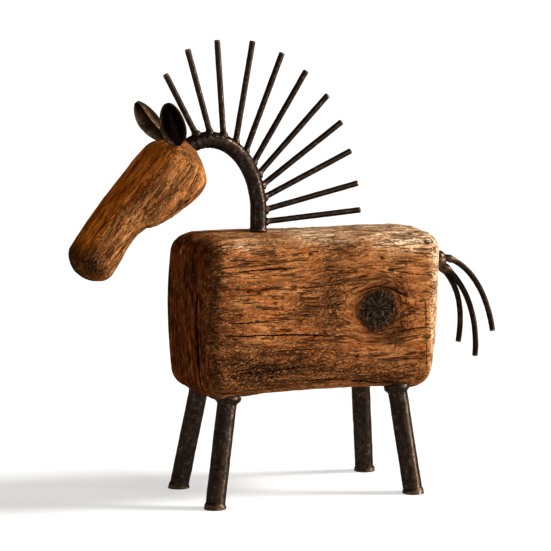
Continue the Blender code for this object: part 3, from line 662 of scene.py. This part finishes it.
def head_rings():
    """Rounded-square rings from poll to nose: cos and sin to the power 2/3 between the front and
    back lines, drawn in at both ends by quarter circles, with points evenly spaced round them."""
    fine = np.linspace(0, 2 * np.pi, 8001)
    across = np.sign(np.cos(fine)) * np.abs(np.cos(fine)) ** (2 / SQUARE_POWER)
    aside = np.sign(np.sin(fine)) * np.abs(np.sin(fine)) ** (2 / SQUARE_POWER)
    run = np.concatenate(((0,), np.hypot(np.diff(across * 0.8), np.diff(aside)).cumsum()))
    at = np.linspace(0, run[-1], HEAD_SIDES, endpoint=False)
    across, aside = np.interp(at, run, across), np.interp(at, run, aside)
    share = np.arange(1, HEAD_RINGS + 1) / (HEAD_RINGS + 1)
    along = HEAD_START + 0.55 * share + 0.45 * (1 - np.cos(np.pi * share)) / 2
    front, back, wide = (through(along, HEAD_STATIONS[:, 0], HEAD_STATIONS[:, i]) for i in (1, 2, 3))
    into = np.clip((along - HEAD_START) / POLL_ROUNDING, 0, 1)
    leave = np.clip((HEAD_START + 1 - along) / NOSE_ROUNDING, 0, 1)
    full = np.sqrt(1 - (1 - into) ** 2) * np.sqrt(1 - (1 - leave) ** 2)
    deep = (front + back)[:, None] / 2 + ((front - back) / 2 * full)[:, None] * across
    side = (wide * full)[:, None] * aside
    rings = np.stack((deep, side, np.broadcast_to(along[:, None], deep.shape)), axis=-1)
    ends = [((front[i] + back[i]) / 2, 0.0, HEAD_START + (0 if i == 0 else 1)) for i in (0, -1)]
    return rings * HEAD_LENGTH, np.array(ends) * HEAD_LENGTH


def outward(rings):
    """Unit vectors square to a surface of rings, from each point's neighbours round and along."""
    around = np.roll(rings, -1, axis=1) - np.roll(rings, 1, axis=1)
    square = np.cross(around, np.gradient(rings, axis=0))
    return square / np.linalg.norm(square, axis=-1, keepdims=True)


neck_end = Vector(neck_line[-1])
head_place = Matrix.Translation(neck_end) @ Matrix.Rotation(-np.pi / 2 - HEAD_DROOP, 4, "Y")
head_axes = np.array(head_place)
rings, tips = head_rings()
head_out = outward(rings)
skull = rings.reshape(-1, 3)
square = head_out.reshape(-1, 3)
deep, aside, along = skull.T
wave = 0.9 * hills(skull, (14, 12, 34), 1) + 0.4 * hills(skull, (8, 8, 12), 2)
head_grain = np.column_stack((along, aside, deep + wave))
edge_line = deep + 0.5 * hills(skull, (6, 6, 6), 3) + 0.2 * hills(skull, (2, 2, 2), 4)
head_flank = rise(np.abs(square[:, 1]), 0.35, 0.7)
nose = rise(along, 55, 72)
relief = 0.28 * hills(skull, (12, 12, 30), 6) + 0.12 * hills(skull, (6, 6, 9), 7)
relief += 0.2 * rough(head_grain, (10, 2.2, 2.2), 8)
relief -= 0.55 * head_flank * split_share(along, edge_line, JAW_SPLITS, 0.55)
jaw = rise(-square[:, 0], 0.1, 0.6)
jaw_lip = rise(along, 30, 37) * rise(along, 38.6, 37.8)
jaw_step = rise(along, 37.8, 38.8) * rise(along, 52, 42)
relief += jaw * (0.35 * jaw_lip - 0.45 * jaw_step)
relief -= 0.35 * np.clip(hills(skull, (7, 7, 11), 10) - 0.4, 0, 1)
relief -= HEAD_INSET

noise = 0.5 + 0.5 * hills(skull, (7, 7, 12), 9)
brow_face = rise(square[:, 0], 0.35, 0.75)
# painted highlight: a lighter streak along the edges between brow and sides, laid on as worn
lit_ridge = patch(deep, np.abs(aside), (12.8, 14.0), (2.6, 4.5))
worn = 0.25 * patch(along, deep, (0.0, -8.0), (12, 10)) * noise
worn += 0.3 * lit_ridge * rise(along, 70, 40) + 0.4 * patch(along, deep, (58, -3), (16, 6)) * head_flank
worn += 0.4 * jaw * rise(along, 50, 30) * noise
coal_nose = nose * rise(deep, -7, 6)
# the brow darker and redder: partly stain, partly painted shade, as it faces away from the light
dark = 0.8 * brow_face * rise(along, -8, 8) * (1 - coal_nose) + coal_nose * (0.9 + 0.3 * noise)
dark += 0.3 * head_flank * patch(along, deep, (30, 0), (30, 9)) + 0.5 * rise(along, 73, 77)
dark += 0.35 * rise(along, 6, -4) * (1 - noise)
poll_end = 0.8 * rise(np.abs(square[:, 2]), 0.5, 0.85)
worn = np.clip(worn * (1 - 0.8 * coal_nose), 0, 1)
head_marks = {
    "grain": head_grain,
    "lines": np.column_stack((edge_line, aside, np.full(len(skull), 99.0))),
    "marks": np.column_stack((worn, np.clip(dark, 0, 1), poll_end)),
    "faces": np.column_stack((head_flank, brow_face * (1 - coal_nose), along)),
}
head_marks = {mark: np.vstack((values, values[0], values[-1])) for mark, values in head_marks.items()}
carved = skull + square * relief[:, None]
tips = tips + ((0, 0, HEAD_INSET), (0, 0, -HEAD_INSET))
points = (np.vstack((carved, tips)) @ head_axes[:3, :3].T + head_axes[:3, 3]) / 1000
head = put_mesh("carved_head", points, ring_faces(HEAD_RINGS, HEAD_SIDES), head_marks)
head_colours = (tint(70, 33, 11), tint(124, 72, 33), tint(176, 114, 62))
# the brow's colours: partly stain, partly painted shade
brow_stain_and_shade = (tint(138, 60, 6), tint(226, 120, 24))
head_wood = old_wood("head_old_wood", *head_colours, brow_stain_and_shade, {"flank": JAW_SPLITS}, 0.85)
head.data.materials.append(head_wood)
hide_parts("head")
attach(head, "root")

# Ears: two leaves cut from iron sheet, dished with a ball hammer and let into slots in the head. The dish is
# nearly black, partly dark scale and partly painted shade, and the rims are rubbed down to brown metal, the
# far ear's with painted highlight as well.

EAR_LENGTH, EAR_WIDTH, EAR_THICKNESS, EAR_CUP, EAR_EGG_POWER = 26.5, 12.0, 1.4, 7.3, 1.11
EAR_BLUNT_ROOT, EAR_BLUNT_TIP = 0.5, 0.4
EARS = (
    # side, hand, lean forward, spread outward, turn of the open side outward, root on the head
    ("left", -1, radians(24.4), radians(32.5), radians(70.5), (0.0804, 0.155, -0.0183)),
    ("right", 1, radians(36.8), radians(9.0), radians(-13.0), (0.0490, 0.110, -0.0430)),
)


def ear_leaf():
    """Rings round a dished leaf. Up it, the outline is an egg: a circle's half chord at the share of
    the length to a power. Round each ring, cos goes across and sin through the thickness, and the
    dish is a parabola across, drawn in to both ends by the chord squared."""
    turns = np.linspace(0, 2 * np.pi, 56, endpoint=False)
    share = np.linspace(EAR_BLUNT_ROOT / EAR_LENGTH, 1 - EAR_BLUNT_TIP / EAR_LENGTH, 80)[:, None]
    chord = np.sqrt(1 - (2 * share**EAR_EGG_POWER - 1) ** 2)
    across = -np.sign(np.cos(turns)) * np.abs(np.cos(turns)) ** 0.8
    through_wall = np.sign(np.sin(turns)) * np.abs(np.sin(turns)) ** 0.45
    slope = 2 * EAR_CUP * across * chord**2 / (chord * EAR_WIDTH / 2)
    lean = np.hypot(1, slope)
    wall = EAR_THICKNESS / 2 * through_wall
    open_way = EAR_CUP * (across**2 - 0.5) * chord**2 + wall / lean
    aside = across * chord * EAR_WIDTH / 2 - wall * slope / lean
    leaf = np.stack((open_way, aside, np.broadcast_to(share * EAR_LENGTH, aside.shape)), axis=-1)
    return leaf, across, through_wall


# a darker copy of the iron: partly dark scale, partly painted shade of the dish
ear_iron = old_iron("ear_iron", tint(10, 4, 3), tint(17, 9, 6), tint(46, 33, 25), 0.36)
leaf, across, through_wall = ear_leaf()
leaf_out, leaf_flat = outward(leaf), leaf.reshape(-1, 3)
bare_spots = 0.6 + 0.6 * hills(leaf_flat, (3, 3, 3), 2).reshape(leaf.shape[:2])
for side, hand, lean, spread, turned_out, place in EARS:
    root = head_place @ (Vector((place[0], hand * place[1], place[2])) * HEAD_LENGTH)
    up = Vector((-np.sin(lean), hand * np.sin(spread), np.cos(lean))).normalized()
    facing = Vector((-np.cos(turned_out), hand * np.sin(turned_out), 0.0))
    facing = (facing - up * facing.dot(up)).normalized()
    axes = np.array((facing, up.cross(facing), up))
    dents = 0.10 * rough(leaf_flat, (5, 5, 5), hand + 3).reshape(leaf.shape[:2])
    dented = leaf + leaf_out * dents[..., None]
    ends = np.array((dented[0].mean(axis=0), dented[-1].mean(axis=0)))
    points = (np.vstack((dented.reshape(-1, 3), ends)) @ axes + np.array(root)) / 1000
    # the rims are rubbed bare; the far ear's rim and back, which face the light, are made lighter still as
    # painted highlight
    rubbed_and_lit = (0.9 + 0.6 * hand) * 1.1 * np.abs(across) ** 8 * bare_spots
    rubbed_and_lit = rubbed_and_lit + 0.08 * (1 + hand) * (through_wall < 0)
    worn = np.concatenate((rubbed_and_lit.ravel(), (0.2, 0.2)))
    ear = put_mesh("ear_leaf_" + side, points, ring_faces(*leaf.shape[:2]), {"worn": worn}, 50)
    ear.data.materials.append(ear_iron)
    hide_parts("ear_" + side)
    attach(ear, "root")

# Legs: four lengths of thick rod, splayed for balance and driven up into the belly. Each has a
# forged collar against the wood and a foot mushroomed by the hammer, rubbed bare at its rim.

LEG_RADIUS, LEG_SEAT, COLLAR_RADIUS, COLLAR_HEIGHT = 4.85, 14.0, 6.65, 3.2
FOOT_RIM, FOOT_RIM_HEIGHT = 0.7, 2.6
LEGS = (("front", -1, 16.1, 40.0, 9.2, 6.4), ("rear", 1, 22.9, 45.0, 6.0, 7.4))
leg_iron = old_iron("leg_iron", tint(18, 12, 8), tint(42, 34, 27), tint(108, 98, 88), 0.33)
for end_name, way, inset, track, reach, splay in LEGS:
    for side, hand in (("left", -1), ("right", 1)):
        at = way * (BODY_SIZE[0] / 2 - inset)
        belly = BELLY_HEIGHT + BELLY_ARCH * (1 - (at / (BODY_SIZE[0] / 2)) ** 2)
        top = np.array((at + body_middle[0], hand * track / 2, belly))
        foot = np.array((at + way * reach + body_middle[0], hand * (track / 2 + splay), 0.0))
        length = np.linalg.norm(top - foot)
        down = (foot - top) / length
        run = np.concatenate((np.linspace(-LEG_SEAT, -1.2, 8), np.arange(-1.0, length + 1.6, 0.4)))
        line = top + run[:, None] * down
        seen = rings_round(line, np.full((len(run), 40), LEG_RADIUS)).reshape(-1, 3)
        skin = (0.10 * rough(seen, (5, 5, 5), 6)).reshape(-1, 40)
        lumps = 0.8 + 0.4 * hills(seen, (3.4, 3.4, 3.4), 7).reshape(-1, 40)
        collar = rise(run, COLLAR_HEIGHT, 0.6)[:, None] * (run > -1.1)[:, None]
        rim = (rise(run, length - FOOT_RIM_HEIGHT, length - 1.5))[:, None]
        radii = LEG_RADIUS + skin + FOOT_RIM * rim * lumps
        radii += (COLLAR_RADIUS - LEG_RADIUS) * collar * (0.9 + 0.1 * lumps)
        worn = 0.22 * rim * lumps
        rings = rings_round(line, radii)
        leg_points = np.concatenate((rings.reshape(-1, 3), line[:1], foot[None]))
        leg_points[:, 2] = np.maximum(leg_points[:, 2], 0.0)
        worn = np.concatenate((worn.ravel(), (0.0, 0.3)))
        leg_faces = ring_faces(*radii.shape)
        leg = put_mesh(f"leg_bar_{end_name}_{side}", leg_points / 1000, leg_faces, {"worn": worn}, 40)
        leg.data.materials.append(leg_iron)
        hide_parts(f"leg_{end_name}_{side}")
        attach(leg, "root")

# Tail: a short thick rod driven into the rump with a blob of weld on its end, and three thin rods
# drawn down from the blob in loose curves, each cut square.

TAIL_HEIGHT, TAIL_SEAT, TAIL_REACH, TAIL_RADIUS, BLOB_RADIUS = 62.2, 12.0, 15.0, 4.0, 5.2
TAIL_RODS = (
    ((1.0, 2.5, -2.4), (15.7, 3.5, -12.0), (18.2, 5.2, -29.0), (16.3, 7.0, -44.4)),
    ((2.0, 0.0, -1.6), (18.5, 0.0, -13.0), (24.3, 0.0, -33.0), (22.7, 0.0, -51.4)),
    ((2.0, -2.2, 1.8), (19.0, -3.6, -1.8), (27.2, -5.2, -20.5), (28.9, -7.5, -37.6)),
)
tail_iron = old_iron("tail_iron", tint(15, 9, 7), tint(30, 22, 17), tint(80, 68, 58), 0.3)
rump = np.array((BODY_SIZE[0] / 2 + body_middle[0], 0.0, BELLY_HEIGHT + TAIL_HEIGHT))
stub_end = TAIL_REACH - 0.02
run = np.concatenate((np.linspace(-TAIL_SEAT, -1.0, 8), np.arange(-0.8, stub_end, 0.3), (stub_end,)))
line = rump + run[:, None] * (1.0, 0.0, 0.0)
blob_at = TAIL_REACH - BLOB_RADIUS
dome = np.sqrt(np.clip(1 - ((run - blob_at) / BLOB_RADIUS) ** 2, 0, 1)) * BLOB_RADIUS
base = np.maximum(np.where(run < blob_at, TAIL_RADIUS, 0.0), dome)
seen = rings_round(line, np.maximum(base, 1.0)[:, None] * np.ones(40)).reshape(-1, 3)
lumps = hills(seen, (3.2, 3.2, 3.2), 3).reshape(-1, 40)
radii = base[:, None] * (1 + 0.02 * lumps + 0.03 * lumps * rise(run, 2, 8)[:, None])
radii += (0.7 * np.exp(-((run / 1.1) ** 2)))[:, None] * (0.8 + 0.5 * lumps) * (run > -1.5)[:, None]
stub = rod("tail_stub_bar", line, radii, 0.25 * rise(run, 5, 10)[:, None] * (0.6 + lumps))
stub.data.materials.append(tail_iron)
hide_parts("tail_stub")
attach(stub, "root")
blob = rump + (blob_at, 0.0, 0.0)
for number, knots in enumerate(TAIL_RODS):
    t = np.linspace(0, 1, 300)[:, None]
    weights = np.hstack(((1 - t) ** 3, 3 * (1 - t) ** 2 * t, 3 * (1 - t) * t**2, t**3))
    line, run = evenly(blob + weights @ np.array(knots), 0.6)
    line = np.vstack((line[:-1], line[-1] * 0.5 + line[-2] * 0.5, line[-1]))
    run = np.append(run[:-1], (run[-1] - 0.3, run[-1]))
    seen = rings_round(line, np.full((len(run), 20), MANE_RADIUS)).reshape(-1, 3)
    radii = MANE_RADIUS + (0.06 * rough(seen, (3, 3, 3), 4)).reshape(-1, 20)
    radii = radii + 0.5 * np.exp(-(((run - 4.5) / 1.8) ** 2))[:, None]
    radii[-1] -= 0.3
    worn = 0.6 * rise(run, run[-1] - 1.0, run[-1]) + 0.25 * np.exp(-(((run - 4.5) / 2) ** 2))
    worn = worn[:, None] * np.ones(20)
    strand = rod(f"tail_strand_{number + 1}", line, radii, worn)
    strand.data.materials.append(tail_iron)
    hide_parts(f"tail_rod_{number + 1}")
    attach(strand, "root")

# Studio: a wide pale floor that glows a little, so that shadows stay faint, inside a white horizon
# under a dim ceiling. One light stands high on the right, a wide weak one in front and a narrow one
# low at the side for the gleam down the rods. The camera is low on the horse's left, ahead of it.

FLOOR_REACH = 30.0
HORIZON_TOP, CEILING_START, HORIZON_LIGHT, CEILING_LIGHT = 0.13, 0.32, 1.03, 0.1
SUNS = (
    # name, way towards it, strength, width in degrees
    ("high_light", (0.80, -0.26, 0.55), 5.4, 14),
    ("front_light", (0.30, -0.90, 0.30), 0.9, 24),
    ("side_light", (0.88, -0.46, 0.02), 5.4, 8),
)
CAMERA_PLACE, CAMERA_TILT, CAMERA_TURN, CAMERA_LENS = (-0.4159, -1.0120, 0.2365), 83.37, -22.0, 143.7

floor_finish, floor_shader, put = new_finish("pale_floor")
mottle = cloud(put, put("TexCoord", output=3), (0.4, 0.4, 0.4), 2.0)
pale = shades(put, mottle, (0.3, (0.44, 0.44, 0.44, 1)), (0.7, (0.46, 0.46, 0.46, 1)))
glow = {"Emission_Color": (1.0, 0.99, 0.98, 1.0), "Emission_Strength": 0.58}
dress(floor_finish, floor_shader, {"Base Color": pale}, Roughness=0.9, Specular_IOR_Level=0.1, **glow)
spread = FLOOR_REACH * np.array(((-1, -1, 0), (1, -1, 0), (1, 1, 0), (-1, 1, 0)))
floor = put_mesh("floor", spread, (np.array(((0, 1, 2, 3),)),))
floor.data.materials.append(floor_finish)

world = bpy.data.worlds.new("studio_air")
bpy.context.scene.world = world
world.use_nodes = True
air = world.node_tree
way = air.nodes.new("ShaderNodeTexCoord")
parts = air.nodes.new("ShaderNodeSeparateXYZ")
ceiling = air.nodes.new("ShaderNodeMapRange")
ceiling.interpolation_type = "SMOOTHSTEP"
for socket, value in enumerate((HORIZON_TOP, CEILING_START, HORIZON_LIGHT, CEILING_LIGHT), 1):
    ceiling.inputs[socket].default_value = value
air.links.new(way.outputs["Generated"], parts.inputs[0])
air.links.new(parts.outputs["Z"], ceiling.inputs[0])
air.links.new(ceiling.outputs[0], air.nodes["Background"].inputs["Strength"])
air.nodes["Background"].inputs["Color"].default_value = (1.0, 0.99, 0.97, 1.0)
bpy.context.scene.view_settings.view_transform = "Standard"

for name, way, strength, width in SUNS:
    sun = bpy.data.lights.new(name, "SUN")
    sun.energy = strength
    sun.angle = radians(width)
    sun.color = (1.0, 0.97, 0.92)
    light = bpy.data.objects.new(name, sun)
    light.rotation_euler = Vector(way).to_track_quat("Z", "Y").to_euler()
    bpy.context.scene.collection.objects.link(light)

lens = bpy.data.cameras.new("camera")
lens.sensor_width = 36.0
lens.lens = CAMERA_LENS
camera = bpy.data.objects.new("camera", lens)
camera.location = CAMERA_PLACE
camera.rotation_euler = (radians(CAMERA_TILT), 0.0, radians(CAMERA_TURN))
bpy.context.scene.collection.objects.link(camera)
bpy.context.scene.camera = camera
